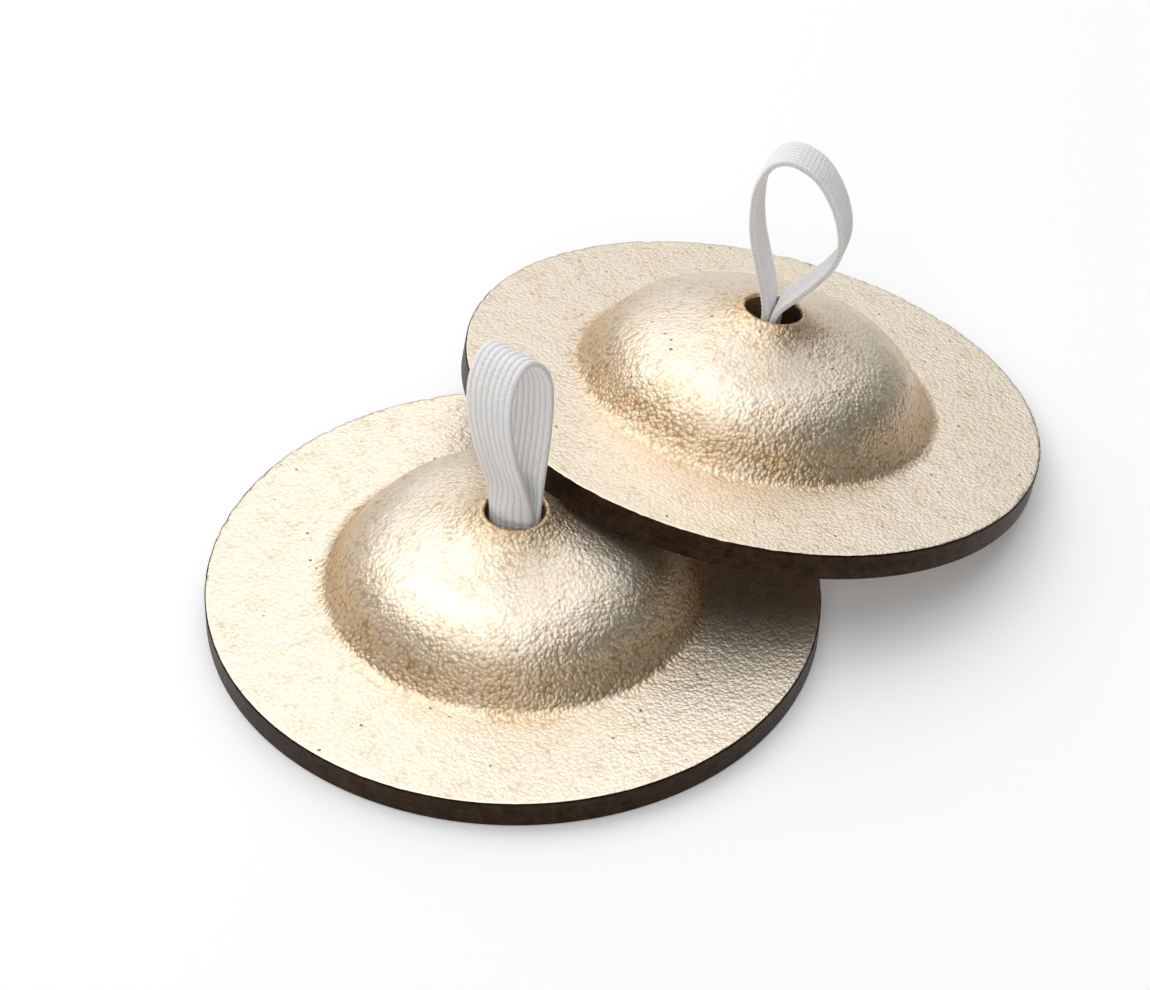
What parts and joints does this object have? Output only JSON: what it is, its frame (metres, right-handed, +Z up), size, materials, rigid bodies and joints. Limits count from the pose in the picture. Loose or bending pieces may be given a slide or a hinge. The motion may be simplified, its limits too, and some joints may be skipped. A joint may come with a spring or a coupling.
{
  "type": "finger cymbals",
  "caption": "Pair of cast brass finger cymbals, each with a flat rim, a hollow bell and a knotted elastic finger loop; one lies flat and the other leans on it.",
  "frame": {"origin": "on the table, under the middle of the pair's box", "axes": "+X from the front cymbal's axis towards the rear one's, +Z up"},
  "size_m": [0.0989, 0.0636, 0.0376],
  "materials": {
    "cast_brass": "sand-cast satin top, turned dark edge",
    "white_elastic": "ribbed knitted elastic"
  },
  "bodies": {
    "front_cymbal": {"front_cymbal": "cast_brass"},
    "front_knot": {"front_knot": "white_elastic"},
    "front_loop": {"front_finger_loop": "white_elastic"},
    "rear_cymbal": {"rear_cymbal": "cast_brass"},
    "rear_knot": {"rear_knot": "white_elastic"},
    "rear_loop": {"rear_finger_loop": "white_elastic"}
  },
  "joints": [
    {"name": "rear_cymbal_lift", "type": "slide", "parent": "front_cymbal", "child": "rear_cymbal", "axis": [0.1972, -0.0173, 0.9802], "range_m": [0, 0.06]},
    {"name": "front_loop_swivel", "type": "hinge", "parent": "front_cymbal", "child": "front_knot", "pos_m": [-0.01774, 0, 0.0135], "axis": [0, 0, 1], "range_deg": [-90, 90]},
    {"name": "front_loop_fold", "type": "hinge", "parent": "front_knot", "child": "front_loop", "pos_m": [-0.01774, 0, 0.0135], "axis": [0.1115, -0.9938, 0], "range_deg": [0, 60], "stiffness_Nm_per_rad": 0.0008},
    {"name": "rear_loop_swivel", "type": "hinge", "parent": "rear_cymbal", "child": "rear_knot", "pos_m": [0.02043, -0.00018, 0.01952], "axis": [0.1972, -0.0173, 0.9802], "continuous": true},
    {"name": "rear_loop_fold", "type": "hinge", "parent": "rear_knot", "child": "rear_loop", "pos_m": [0.02043, -0.00018, 0.01952], "axis": [-0.8558, -0.4908, 0.1636], "range_deg": [-15, 50], "stiffness_Nm_per_rad": 0.0008}
  ]
}
